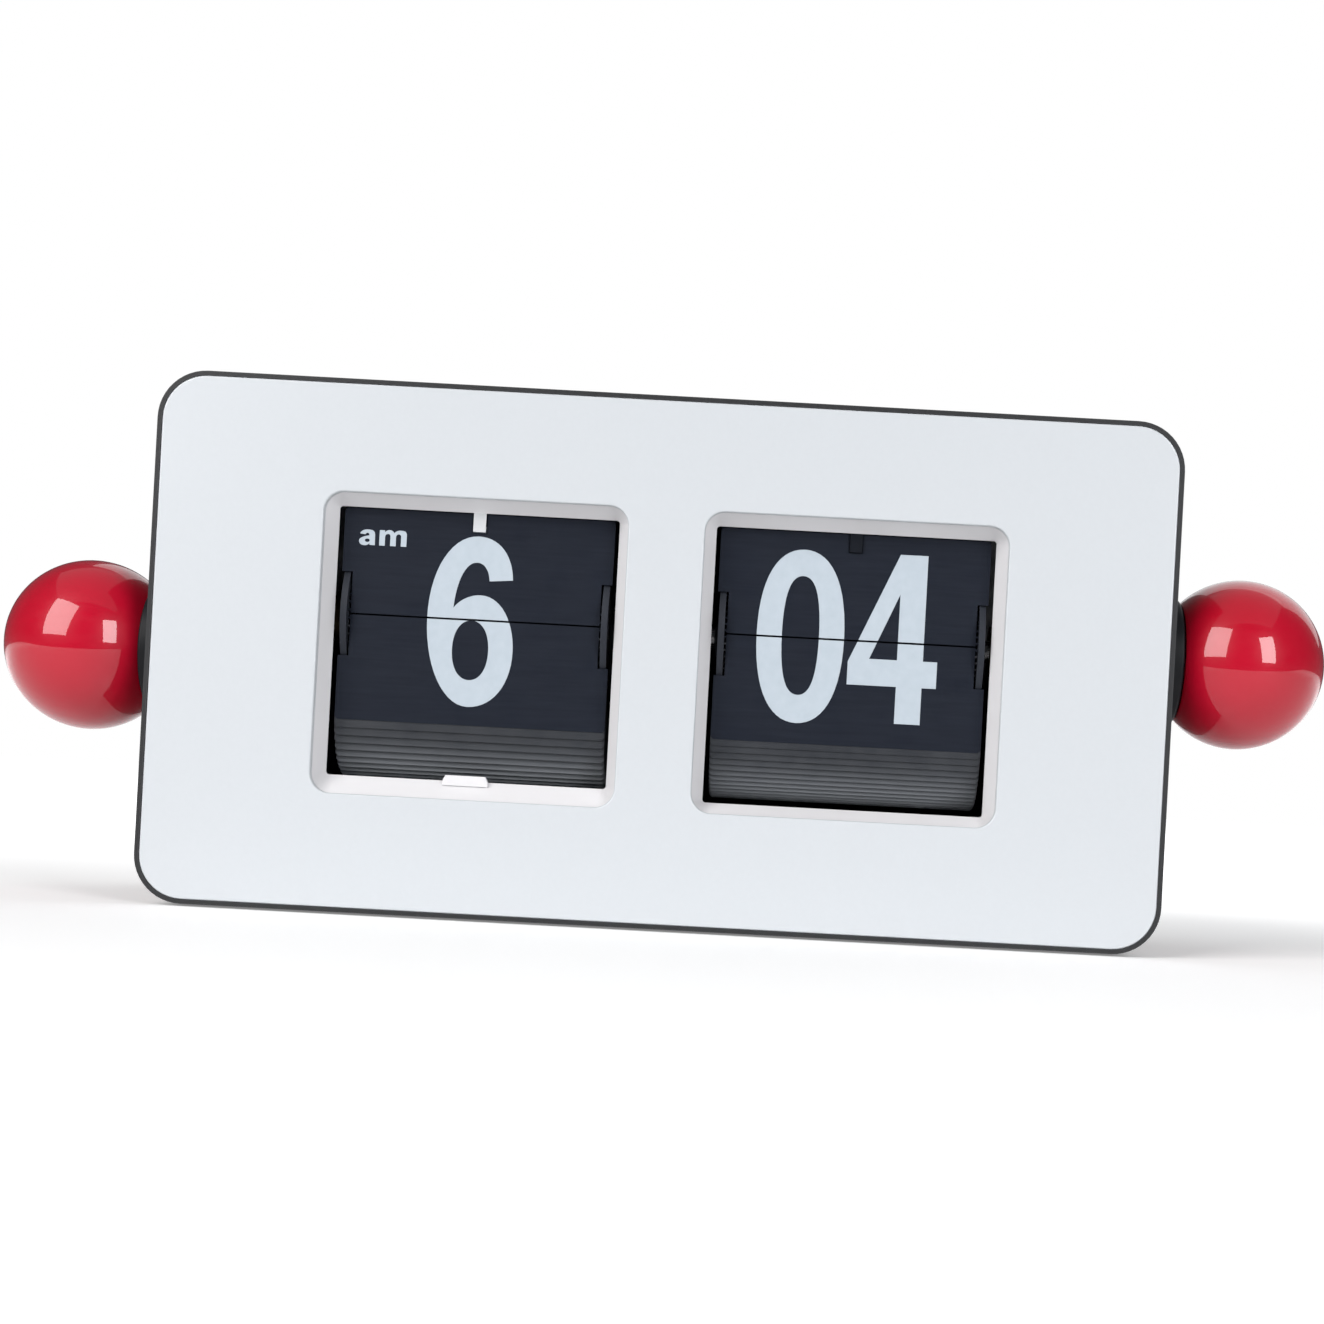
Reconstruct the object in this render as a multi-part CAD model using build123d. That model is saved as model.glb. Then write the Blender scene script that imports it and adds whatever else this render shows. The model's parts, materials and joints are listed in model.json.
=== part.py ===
"""Flip number clock: a small table clock with two windows of hinged number leaves.

Millimetres. +X to the right as seen from the front, +Y to the rear, +Z up.
The origin is on the table, under the middle of the clock.
"""

import os
from math import acos, cos, exp, pi, radians, sin, tan

from build123d import *

# ---------------------------------------------------------------- driving dimensions

# case
CASE_WIDTH = 180.0
CASE_HEIGHT = 93.4
CASE_DEPTH = 68.0
CASE_CORNER = 8.5
CASE_WALL = 2.2
FOOT_LIFT = 0.4
RIM = 0.8
FASCIA_THICKNESS = 1.6
COVER_THICKNESS = 2.0
COVER_LIP = 2.5
FIT_GAP = 0.15

# windows, from the middle of the case
WINDOW_X = 33.4
WINDOW_WIDTH = 53.3
WINDOW_TOP = 26.95
WINDOW_BOTTOM = -25.9
WINDOW_CORNER = 3.5
OPENING_WIDTH = 49.6
OPENING_TOP = 24.9
OPENING_BOTTOM = {"hour": -22.7, "minute": -24.1}
OPENING_CORNER = 0.6
FRAME_DEPTH = 4.8
FRAME_WALL = 1.2
FRAME_FLANGE = 1.95

# drums and leaves
AXIS_RISE = 6.0
LEAF_DEPTH = 5.4
HINGE_RADIUS = 11.0
LEAF_COUNT = {"hour": 48, "minute": 60}
LEAF_WIDTH = 48.0
LEAF_THICKNESS = 0.10
LEAF_CORNER = 0.5
LEAF_TOP_GAP = 0.15
NOTCH_WIDTH = 1.9
NOTCH_HEIGHT = 7.45
SPLIT_GAP = 0.3
HIDDEN_HEEL = 0.15
HINGE_PIN_RADIUS = 0.2
HINGE_PIN_LENGTH = 0.95
LEAF_FAN = 13.0
LEAF_FAN_SPREAD = 15.0
DISC_RADIUS = 12.9
DISC_THICKNESS = 1.1
DISC_GAP = 0.4
GROOVE_HALF_WIDTH = 0.4
GROOVE_DEPTH = 0.6

# catches
CATCH_WIDTH = 2.2
CATCH_THICKNESS = 0.35
CATCH_END = 15.6
CATCH_PAD_WIDTH = 7.0
CATCH_RELIEF = 0.12

# shafts
SHAFT_RADIUS = 2.0
RUNNING_GAP = 0.03
ARBOR_RADIUS = 1.0
STUD_RADIUS = 0.75

# gears
PRESSURE_ANGLE = 20.0
BACKLASH = 0.10
TRANSFER_DISTANCE = 14.0
MOTOR_MODULE = 0.5
WHEEL_TEETH = 48
PINION_TEETH = 12

# balls
BALL_RADIUS = 15.4
BALL_OVERHANG = 14.3
BALL_FOOT = 11.3
BALL_FOOT_ROUND = 0.3
COLLAR_RADIUS = 11.3
INSERT_RADIUS = 3.0
INSERT_LENGTH = 9.0
SCREW_GRIP = 7.0
SHAFT_GRIP = 7.5
LEFT_BALL_RISE = -1.55

# movement frame
SIDE_PLATE_X = 60.0
PLATE_THICKNESS = 1.5
PLATE_FRONT_DEPTH = 6.5
SIDE_PLATE_LENGTH = 46.0
MIDDLE_PLATE_LENGTH = 41.0
PLATE_LOW = 9.0
PLATE_HIGH = 88.0

# ---------------------------------------------------------------- derived positions

FRONT = -CASE_DEPTH / 2
REAR = CASE_DEPTH / 2
MIDDLE_Z = FOOT_LIFT + CASE_HEIGHT / 2
AXIS_Z = MIDDLE_Z + AXIS_RISE
HALF_STEP = {drum: 180.0 / count for drum, count in LEAF_COUNT.items()}
AXIS_Y = FRONT + LEAF_DEPTH + HINGE_RADIUS * cos(radians(HALF_STEP["minute"]))
SIDE_X = CASE_WIDTH / 2
INNER_X = SIDE_X - CASE_WALL
FASCIA_BACK = FRONT + FASCIA_THICKNESS
SHELL_END = REAR - COVER_THICKNESS
BALL_X = SIDE_X + BALL_OVERHANG
DRUM_X = {"hour": -WINDOW_X, "minute": WINDOW_X}
PLATE_FRONT = FRONT + PLATE_FRONT_DEPTH
PLATE_REAR = PLATE_FRONT + SIDE_PLATE_LENGTH

# ---------------------------------------------------------------- shape helpers


def block(x, y, z):
    """A box from three (low, high) pairs."""
    size = (x[1] - x[0], y[1] - y[0], z[1] - z[0])
    return Pos((x[0] + x[1]) / 2, (y[0] + y[1]) / 2, (z[0] + z[1]) / 2) * Box(*size)


def rod(x, radius, y=AXIS_Y, z=AXIS_Z):
    """A round bar along X between two x values."""
    return Pos((x[0] + x[1]) / 2, y, z) * Rot(0, 90, 0) * Cylinder(radius, x[1] - x[0])


def ring(x, outer, inner, y=AXIS_Y, z=AXIS_Z):
    return rod(x, outer, y, z) - rod(x, inner, y, z)


def bar_y(y, radius, x, z):
    """A round bar along Y between two y values."""
    return Pos(x, (y[0] + y[1]) / 2, z) * Rot(90, 0, 0) * Cylinder(radius, y[1] - y[0])


def bar_z(z, radius, x, y):
    return Pos(x, y, (z[0] + z[1]) / 2) * Cylinder(radius, z[1] - z[0])


def front_plate(width, low, high, corner, y, x=0.0):
    """A rounded rectangle seen from the front, low and high measured from the case's middle."""
    outline = Plane.XZ * RectangleRounded(width, high - low, corner)
    return Pos(x, y[1], MIDDLE_Z + (low + high) / 2) * extrude(outline, amount=y[1] - y[0])


def case_outline(inset, y):
    """The case's own rounded outline, drawn in by inset."""
    half = CASE_HEIGHT / 2 - inset
    return front_plate(CASE_WIDTH - 2 * inset, -half, half, CASE_CORNER - inset, y)


def window_loft(x, grow, bottom, corner_grow, y):
    """The sloped window space, or with grow its outer wall, between the panel and the frame's back."""
    wide = Plane.XZ * RectangleRounded(
        WINDOW_WIDTH + 2 * grow,
        WINDOW_TOP - WINDOW_BOTTOM + 2 * grow,
        WINDOW_CORNER + corner_grow,
    )
    narrow = Plane.XZ * RectangleRounded(
        OPENING_WIDTH + 2 * grow,
        OPENING_TOP - bottom + 2 * grow,
        OPENING_CORNER + corner_grow,
    )
    wide = Pos(x, y[0], MIDDLE_Z + (WINDOW_TOP + WINDOW_BOTTOM) / 2) * wide
    narrow = Pos(x, y[1], MIDDLE_Z + (OPENING_TOP + bottom) / 2) * narrow
    return loft([wide, narrow], ruled=True)


def around(centre, radius, angle):
    """The (y, z) point at an angle from +Y towards +Z."""
    return (
        centre[0] + radius * cos(radians(angle)),
        centre[1] + radius * sin(radians(angle)),
    )


def joined(shapes):
    """Separate solids kept together in one node."""
    solids = []
    for shape in shapes:
        solids.extend(shape.solids())
    return Compound(children=solids)


# ---------------------------------------------------------------- gears


def involute(angle):
    return tan(angle) - angle


def gear(module, teeth, x, centre, phase, addendum, bore):
    """A spur gear on an X axis, with one tooth centred at the phase angle."""
    pitch = module * teeth / 2
    base = pitch * cos(radians(PRESSURE_ANGLE))
    root = pitch - 1.25 * module
    tip = pitch + addendum * module
    half_tooth = pi / (2 * teeth) - BACKLASH / (4 * pitch)
    flank_start = max(base, root)
    radii = [flank_start + (tip - flank_start) * part for part in (0.0, 0.3, 0.65, 1.0)]
    flank = []
    for radius in radii:
        turn = involute(acos(min(1.0, base / radius)))
        flank.append((radius, half_tooth + involute(radians(PRESSURE_ANGLE)) - turn))
    if root < flank_start:
        flank.insert(0, (root, flank[0][1]))
    points = []
    for tooth in range(teeth):
        middle = radians(phase) + 2 * pi * tooth / teeth
        points.extend((r * cos(middle - a), r * sin(middle - a)) for r, a in flank)
        points.extend((r * cos(middle + a), r * sin(middle + a)) for r, a in reversed(flank))
    blank = extrude(Plane.YZ * Polygon(*points, align=None), amount=x[1] - x[0])
    return Pos(x[0], *centre) * blank - rod(x, bore, *centre)


def web_holes(x, centre, pitch_radius, count, hole):
    """Round lightening holes in a wheel or disc."""
    spots = [around(centre, pitch_radius, 360.0 * k / count) for k in range(count)]
    return [rod(x, hole, *spot) for spot in spots]


# ---------------------------------------------------------------- case


def foot_spots():
    return [(x, y) for x in (-74.0, 74.0) for y in (-18.0, 20.0)]


def cover_screw_spots():
    across = SIDE_X - CASE_CORNER + 2.0
    up = CASE_HEIGHT / 2 - CASE_CORNER + 2.1
    return [(x, MIDDLE_Z + z) for x in (-across, across) for z in (-up, up)]


def base_screw_spots():
    return [(x, y) for x in (-50.0, 50.0) for y in (-20.0, 12.0)]


def case_shell():
    shell = case_outline(0, (FRONT, SHELL_END)) - case_outline(RIM, (FRONT, FASCIA_BACK))
    shell -= case_outline(CASE_WALL, (FASCIA_BACK, SHELL_END))
    for x, z in cover_screw_spots():
        boss = bar_y((SHELL_END - 12, SHELL_END - COVER_LIP - 0.5), 4.6, x, z)
        shell += boss & case_outline(1.0, (FASCIA_BACK, SHELL_END))
        shell -= bar_y((SHELL_END - 11, SHELL_END), 1.25, x, z)
    floor = FOOT_LIFT + CASE_WALL
    for x, y in base_screw_spots():
        shell += bar_z((floor - 0.5, PLATE_LOW - 2.0), 3.5, x, y)
        shell -= bar_z((floor, PLATE_LOW - 2.0), 1.0, x, y)
    for x, y in foot_spots():
        shell -= bar_z((FOOT_LIFT, FOOT_LIFT + 1.0), 5.0 + FIT_GAP, x, y)
    shell -= rod((INNER_X - 1, SIDE_X + 1), 6.0)
    shell -= rod((-SIDE_X - 1, 1 - INNER_X), 6.0, AXIS_Y, MIDDLE_Z + LEFT_BALL_RISE)
    return shell


def fascia():
    panel = case_outline(RIM, (FRONT, FASCIA_BACK))
    for x in DRUM_X.values():
        panel -= front_plate(
            WINDOW_WIDTH, WINDOW_BOTTOM, WINDOW_TOP, WINDOW_CORNER, (FRONT - 1, FASCIA_BACK + 1), x
        )
    front_edges = panel.edges().filter_by_position(Axis.Y, FRONT - 0.01, FRONT + 0.01)
    return fillet(front_edges, 0.35)


def window_frame(drum):
    x = DRUM_X[drum]
    span = (FASCIA_BACK, FRONT + FRAME_DEPTH)
    bottom = OPENING_BOTTOM[drum]
    body = window_loft(x, FRAME_WALL, bottom, FRAME_WALL, span)
    body += front_plate(
        WINDOW_WIDTH + 2 * FRAME_FLANGE,
        WINDOW_BOTTOM - FRAME_FLANGE,
        WINDOW_TOP + FRAME_FLANGE,
        WINDOW_CORNER + FRAME_FLANGE,
        (span[0], span[0] + 1.2),
        x,
    )
    seat_low = MIDDLE_Z + OPENING_TOP + FRAME_WALL
    seat = block(
        (x - CATCH_PAD_WIDTH / 2, x + CATCH_PAD_WIDTH / 2),
        (span[0], span[1]),
        (seat_low - 0.6, seat_low + 2.6),
    )
    body = body + seat - window_loft(x, 0, bottom, 0, span)
    if drum == "hour":
        body += bottom_tab(x, bottom, span[1])
    return body


def bottom_tab(x, bottom, back):
    """A low tab with slanted ends that stands on the hour window's bottom lip."""
    half_width = 4.0
    height = 1.0
    slant = 0.5
    outline = Polyline(
        (x - half_width, MIDDLE_Z + bottom - 0.8),
        (x - half_width, MIDDLE_Z + bottom),
        (x - half_width + slant, MIDDLE_Z + bottom + height),
        (x + half_width - slant, MIDDLE_Z + bottom + height),
        (x + half_width, MIDDLE_Z + bottom),
        (x + half_width, MIDDLE_Z + bottom - 0.8),
        close=True,
    )
    tab = extrude(Plane.XZ * make_face(outline), amount=1.2)
    return Pos(0, back, 0) * tab


def catch(drum):
    """A thin sprung strip that stands in front of the upper leaf's top edge."""
    x = DRUM_X[drum]
    front = FRONT + FRAME_DEPTH
    span = (front, front + CATCH_THICKNESS)
    seat_low = MIDDLE_Z + OPENING_TOP + FRAME_WALL
    strip = block(
        (x - CATCH_WIDTH / 2, x + CATCH_WIDTH / 2), span, (AXIS_Z + CATCH_END, seat_low)
    )
    pad = block(
        (x - CATCH_PAD_WIDTH / 2, x + CATCH_PAD_WIDTH / 2), span, (seat_low, seat_low + 2.6)
    )
    return strip + pad


def rear_cover():
    cover = case_outline(0, (SHELL_END, REAR))
    lip_span = (SHELL_END - COVER_LIP, SHELL_END)
    lip = case_outline(CASE_WALL + FIT_GAP, lip_span) - case_outline(CASE_WALL + 1.6, lip_span)
    cover = fillet(cover.edges().filter_by_position(Axis.Y, REAR - 0.01, REAR + 0.01), 1.0)
    cover += lip
    for x, z in cover_screw_spots():
        cover -= bar_y((SHELL_END - COVER_LIP, REAR), 1.7, x, z)
        cover -= bar_y((REAR - 1.0, REAR), 3.1, x, z)
    cover -= door_space(0, (SHELL_END + 0.8, REAR))
    cover -= door_space(-2.2, (SHELL_END, REAR))
    for x in (-44.0, 44.0):
        for row in range(7):
            z = MIDDLE_Z + 8.0 + 4.4 * row
            cover -= front_plate(
                24.0, z - MIDDLE_Z - 0.8, z - MIDDLE_Z + 0.8, 0.79, (SHELL_END, REAR), x
            )
    return cover


def door_space(grow, y):
    """The battery door's outline in the rear cover."""
    low = 12.0 - MIDDLE_Z - grow
    high = 42.4 - MIDDLE_Z + grow
    return front_plate(60.0 + 2 * grow, low, high, 2.6 + grow / 2, y)


def battery_door():
    door = door_space(-FIT_GAP, (SHELL_END + 0.8, REAR))
    for row in range(5):
        z = 35.6 + 1.3 * row - MIDDLE_Z
        door -= front_plate(14.0, z - 0.3, z + 0.3, 0.29, (REAR - 0.5, REAR))
    for x in (-16.0, 16.0):
        door += block((x - 3, x + 3), (SHELL_END - 0.6, SHELL_END + 0.8), (15.0, 16.2))
    return door


def battery_holder():
    y = (SHELL_END - 16.6, SHELL_END)
    tray = block((-31.0, 31.0), y, (10.4, 44.0))
    tray -= block((-29.6, 29.6), (y[0] + 1.4, y[1]), (11.8, 42.6))
    for x in (-10.0, 10.0):
        tray += block((x - 0.6, x + 0.6), (y[0], y[0] + 3.0), (25.6, 28.8))
    return tray


CELL_RADIUS = 7.1
CELL_LENGTH = 50.0
CELL_SPOTS = ((SHELL_END - 7.6, 19.6), (SHELL_END - 7.6, 34.8))


def batteries():
    cells = []
    for (y, z), side in zip(CELL_SPOTS, (1, -1)):
        half = CELL_LENGTH / 2
        cell = rod((-half, half - 1.0), CELL_RADIUS, y, z)
        cell = fillet(cell.edges(), 0.6) + rod((half - 1.0, half + 0.4), 2.7, y, z)
        if side < 0:
            cell = mirror(cell, about=Plane.YZ)
        cells.append(cell)
    return joined(cells)


def battery_contacts():
    """A bridging plate at one end, a plate for each cell at the other, and two cone springs."""
    low, high = CELL_SPOTS
    y = (low[0] - 5.0, low[0] + 5.0)
    bridge = block((28.8, 29.2), y, (low[1] - 5.0, high[1] + 5.0))
    plates = [block((-29.2, -28.8), y, (z - 5.0, z + 5.0)) for _, z in CELL_SPOTS]
    return joined([bridge] + plates + cone_springs())


def cone_springs():
    """Springs that press on the flat pole of each cell."""
    springs = []
    for (y, z), side in zip(CELL_SPOTS, (-1, 1)):
        start = side * (CELL_LENGTH / 2 + 0.35)
        path = Helix(pitch=1.1, height=3.2, radius=3.4, cone_angle=18)
        path = Pos(start, y, z) * Rot(0, side * 90, 0) * path
        section = Plane(origin=path @ 0, z_dir=path % 0) * Circle(0.3)
        springs.append(sweep(section, path=path))
    return springs


def feet():
    pads = []
    for x, y in foot_spots():
        pad = bar_z((0, FOOT_LIFT + 1.0), 5.0, x, y)
        pads.append(chamfer(pad.edges().group_by(Axis.Z)[0], 0.2))
    return joined(pads)


# ---------------------------------------------------------------- balls


def ball(side, z):
    """A ball cut flat where it meets its collar, with a blind bore for its brass insert."""
    shape = Sphere(BALL_RADIUS) & block((-BALL_FOOT, BALL_RADIUS), (-20, 20), (-20, 20))
    foot_edge = shape.edges().filter_by_position(Axis.X, -BALL_FOOT - 0.01, -BALL_FOOT + 0.01)
    shape = fillet(foot_edge, BALL_FOOT_ROUND)
    shape -= rod((-BALL_FOOT - 1, INSERT_LENGTH - BALL_FOOT), INSERT_RADIUS, 0, 0)
    if side < 0:
        shape = mirror(shape, about=Plane.YZ)
    return Pos(side * BALL_X, AXIS_Y, z) * shape


def ball_insert(side, z, bore):
    inner = BALL_X - BALL_FOOT
    shape = ring((inner, inner + INSERT_LENGTH), INSERT_RADIUS, bore, 0, 0)
    for groove_x in (inner + 2.5, inner + 6.0):
        shape -= ring((groove_x, groove_x + 0.8), INSERT_RADIUS, INSERT_RADIUS - 0.4, 0, 0)
    if side < 0:
        shape = mirror(shape, about=Plane.YZ)
    return Pos(0, AXIS_Y, z) * shape


def collar(side, z, length, bore):
    disc = rod((SIDE_X, SIDE_X + length), COLLAR_RADIUS, 0, 0)
    outer_rim = disc.edges().group_by(Axis.X)[-1]
    disc = fillet(outer_rim, 0.5)
    shape = disc + rod((INNER_X - 0.8, SIDE_X), 6.0 - 0.05, 0, 0)
    shape -= rod((INNER_X - 2, SIDE_X + length + 1), bore, 0, 0)
    if side < 0:
        shape = mirror(shape, about=Plane.YZ)
    return Pos(0, AXIS_Y, z) * shape


def left_ball_screw():
    z = MIDDLE_Z + LEFT_BALL_RISE
    end = BALL_X - BALL_FOOT + SCREW_GRIP
    shank = rod((-end, 0.8 - INNER_X), 1.5, AXIS_Y, z)
    head = rod((0.8 - INNER_X, 3.0 - INNER_X), 2.9, AXIS_Y, z)
    head = fillet(head.edges().group_by(Axis.X)[-1], 0.7)
    slot = block(
        (2.2 - INNER_X, 3.0 - INNER_X), (AXIS_Y - 3, AXIS_Y + 3), (z - 0.35, z + 0.35)
    )
    return shank + head - slot


# ---------------------------------------------------------------- drums


def drum_disc(drum, side):
    """One end disc. The leaf pins run in the ring groove in its inner face."""
    inner = LEAF_WIDTH / 2 - NOTCH_WIDTH + DISC_GAP
    disc = ring((inner, inner + DISC_THICKNESS), DISC_RADIUS, SHAFT_RADIUS)
    disc -= ring(
        (inner, inner + GROOVE_DEPTH),
        HINGE_RADIUS + GROOVE_HALF_WIDTH,
        HINGE_RADIUS - GROOVE_HALF_WIDTH,
    )
    for hole in web_holes((inner - 1, inner + 3), (AXIS_Y, AXIS_Z), 6.4, 6, 1.9):
        disc -= hole
    disc += ring((inner, inner + 2.0), 3.6, SHAFT_RADIUS)
    if side < 0:
        disc = mirror(disc, about=Plane.YZ)
    return Pos(DRUM_X[drum], 0, 0) * disc


def drum_core(drum):
    half = LEAF_WIDTH / 2 - NOTCH_WIDTH + DISC_GAP
    x = DRUM_X[drum]
    core = ring((x - half, x + half), 3.2, SHAFT_RADIUS)
    for k in range(4):
        y, z = around((AXIS_Y, AXIS_Z), 4.0, 45 + 90 * k)
        rib = block((x - half, x + half), (-1.3, 1.3), (-0.4, 0.4))
        core += Pos(0, y, z) * Rot(45 + 90 * k, 0, 0) * rib
    return core


def leaf_outline(length, heel, catch_notch):
    """One leaf standing on its hinge line at the origin, in the XZ plane."""
    half = LEAF_WIDTH / 2
    narrow = half - NOTCH_WIDTH
    shoulder = NOTCH_HEIGHT - heel - SPLIT_GAP / 2
    right = [(narrow, -heel), (narrow, shoulder), (half, shoulder), (half, length - LEAF_CORNER)]
    right.append((half - LEAF_CORNER, length))
    if catch_notch:
        slot = CATCH_WIDTH / 2 + CATCH_RELIEF
        right.extend([(slot, length), (slot, length - catch_notch)])
    left = [(-x, z) for x, z in reversed(right)]
    return Polyline(*right, *left, close=True)


def leaf(drum, angle, lean, heel, catch_notch=0.0):
    """One leaf on its drum: angle is its hinge's place on the ring, up from the front.

    lean turns the leaf back from upright about its hinge.
    """
    step = radians(HALF_STEP[drum])
    length = OPENING_TOP - AXIS_RISE - LEAF_TOP_GAP - HINGE_RADIUS * sin(step)
    sheet = extrude(
        Plane.XZ * make_face(leaf_outline(length, heel, catch_notch)),
        amount=LEAF_THICKNESS / 2,
        both=True,
    )
    narrow = LEAF_WIDTH / 2 - NOTCH_WIDTH
    for side in (-1, 1):
        ends = sorted((side * narrow, side * (narrow + HINGE_PIN_LENGTH)))
        sheet += rod(ends, HINGE_PIN_RADIUS, 0, 0)
    y, z = around((AXIS_Y, AXIS_Z), HINGE_RADIUS, 180 - angle)
    return Pos(DRUM_X[drum], y, z) * Rot(-lean, 0, 0) * sheet


def front_heel(drum):
    """The front leaves' heels reach past their hinges to close the split line."""
    return HINGE_RADIUS * sin(radians(HALF_STEP[drum])) - SPLIT_GAP / 2


def flip_leaf(drum):
    """The front upper leaf, about to fall. It is cut back where it bows round the catch."""
    heel = front_heel(drum)
    notch = OPENING_TOP - AXIS_RISE - LEAF_TOP_GAP - CATCH_END + CATCH_RELIEF
    return leaf(drum, HALF_STEP[drum], 0.0, heel, notch)


def upper_lean(drum, angle):
    """How far a waiting leaf lies back, from upright at the front to hanging at the back."""
    half_step = HALF_STEP[drum]
    rise = 1 - exp(-(angle - half_step) / LEAF_FAN_SPREAD)
    fall = 1 - exp(-(180 - half_step - angle) / LEAF_FAN_SPREAD)
    return angle - half_step - LEAF_FAN * rise * fall


def next_leaf(drum):
    angle = 3 * HALF_STEP[drum]
    return leaf(drum, angle, upper_lean(drum, angle), HIDDEN_HEEL)


def upper_leaves(drum):
    step = 2 * HALF_STEP[drum]
    waiting = []
    for k in range(2, LEAF_COUNT[drum] // 2):
        angle = HALF_STEP[drum] + k * step
        waiting.append(leaf(drum, angle, upper_lean(drum, angle), HIDDEN_HEEL))
    return joined(waiting)


def front_lower_leaf(drum):
    return leaf(drum, -HALF_STEP[drum], 180.0, front_heel(drum))


def lower_leaves(drum):
    step = 2 * HALF_STEP[drum]
    fallen = []
    for k in range(1, LEAF_COUNT[drum] // 2):
        fallen.append(leaf(drum, -HALF_STEP[drum] - k * step, 180.0, HIDDEN_HEEL))
    return joined(fallen)


# ---------------------------------------------------------------- gear trains

AXIS = (AXIS_Y, AXIS_Z)
TRANSFER_ANGLE = -35.0
TRANSFER = around(AXIS, TRANSFER_DISTANCE, TRANSFER_ANGLE)
MOTOR_DISTANCE = MOTOR_MODULE * (WHEEL_TEETH + PINION_TEETH) / 2
REDUCTION_ANGLE = -30.0
REDUCTION = around(AXIS, MOTOR_DISTANCE, REDUCTION_ANGLE)
MOTOR_ANGLE = -45.0
MOTOR = around(REDUCTION, MOTOR_DISTANCE, MOTOR_ANGLE)
GEAR_WIDTH = 1.6
NEAR_X = 2.6
MINUTE_SIDE = (NEAR_X, NEAR_X + GEAR_WIDTH)
HOUR_SIDE = (-NEAR_X - GEAR_WIDTH, -NEAR_X)
FIRST_STAGE = {"pinion": 16, "wheel": 64}
SECOND_STAGE = {"pinion": 10, "wheel": 60}
FIRST_MODULE = 2 * TRANSFER_DISTANCE / sum(FIRST_STAGE.values())
SECOND_MODULE = 2 * TRANSFER_DISTANCE / sum(SECOND_STAGE.values())
WHEEL_ADDENDUM = 0.6
PINION_ADDENDUM = 0.9


def minute_pinion():
    return gear(
        FIRST_MODULE,
        FIRST_STAGE["pinion"],
        MINUTE_SIDE,
        AXIS,
        TRANSFER_ANGLE,
        PINION_ADDENDUM,
        SHAFT_RADIUS,
    )


def transfer_wheel():
    facing = TRANSFER_ANGLE + 180 + 180 / FIRST_STAGE["wheel"]
    wheel = gear(
        FIRST_MODULE,
        FIRST_STAGE["wheel"],
        MINUTE_SIDE,
        TRANSFER,
        facing,
        WHEEL_ADDENDUM,
        ARBOR_RADIUS,
    )
    for hole in web_holes(MINUTE_SIDE, TRANSFER, 6.4, 5, 2.2):
        wheel -= hole
    return wheel


def transfer_pinion():
    return gear(
        SECOND_MODULE,
        SECOND_STAGE["pinion"],
        HOUR_SIDE,
        TRANSFER,
        TRANSFER_ANGLE + 180,
        PINION_ADDENDUM,
        ARBOR_RADIUS,
    )


def hour_wheel():
    facing = TRANSFER_ANGLE + 180 / SECOND_STAGE["wheel"]
    wheel = gear(
        SECOND_MODULE,
        SECOND_STAGE["wheel"],
        HOUR_SIDE,
        AXIS,
        facing,
        WHEEL_ADDENDUM,
        SHAFT_RADIUS,
    )
    for hole in web_holes(HOUR_SIDE, AXIS, 7.0, 6, 2.3):
        wheel -= hole
    return wheel


CLUTCH_X = (65.0, 66.6)
REDUCTION_PINION_X = (64.8, 67.4)
REDUCTION_WHEEL_X = (67.4, 69.0)
MOTOR_PINION_X = (67.2, 69.4)


def clutch_gear():
    wheel = gear(
        MOTOR_MODULE, WHEEL_TEETH, CLUTCH_X, AXIS, REDUCTION_ANGLE, WHEEL_ADDENDUM, SHAFT_RADIUS
    )
    for hole in web_holes(CLUTCH_X, AXIS, 7.0, 6, 2.3):
        wheel -= hole
    return wheel


def clutch_hub():
    return ring((62.8, 64.0), 4.6, SHAFT_RADIUS)


def clutch_spring():
    """A dished washer between the hub and the gear."""
    profile = Polyline((64.0, 2.2), (64.3, 2.2), (65.0, 5.4), (64.7, 5.4), close=True)
    return Pos(0, *AXIS) * revolve(make_face(profile), Axis.X)


def reduction_gear():
    """Pinion and wheel moulded in one, turning on a fixed stud."""
    facing = REDUCTION_ANGLE + 180 + 180 / PINION_TEETH
    bore = STUD_RADIUS + RUNNING_GAP
    pinion = gear(
        MOTOR_MODULE, PINION_TEETH, REDUCTION_PINION_X, REDUCTION, facing, PINION_ADDENDUM, bore
    )
    wheel = gear(
        MOTOR_MODULE,
        WHEEL_TEETH,
        REDUCTION_WHEEL_X,
        REDUCTION,
        MOTOR_ANGLE,
        WHEEL_ADDENDUM,
        bore,
    )
    for hole in web_holes(REDUCTION_WHEEL_X, REDUCTION, 7.2, 5, 2.3):
        wheel -= hole
    return pinion + wheel


def motor_pinion():
    facing = MOTOR_ANGLE + 180 + 180 / PINION_TEETH
    return gear(
        MOTOR_MODULE, PINION_TEETH, MOTOR_PINION_X, MOTOR, facing, PINION_ADDENDUM, STUD_RADIUS
    )


def motor():
    """A flat clock motor with its coil bobbin beside the rotor."""
    y, z = MOTOR
    x = (SIDE_PLATE_X + PLATE_THICKNESS, 66.4)
    body = block(x, (y - 6.4, y + 14.6), (z - 13.0, z + 7.0))
    body = fillet(body.edges().filter_by(Axis.X), 1.5)
    body -= block((x[1] - 1.2, x[1]), (y + 6.2, y + 13.0), (z - 11.4, z + 5.4))
    return body - rod((x[0] + 1.0, x[1] + 1), STUD_RADIUS + RUNNING_GAP, y, z)


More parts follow.
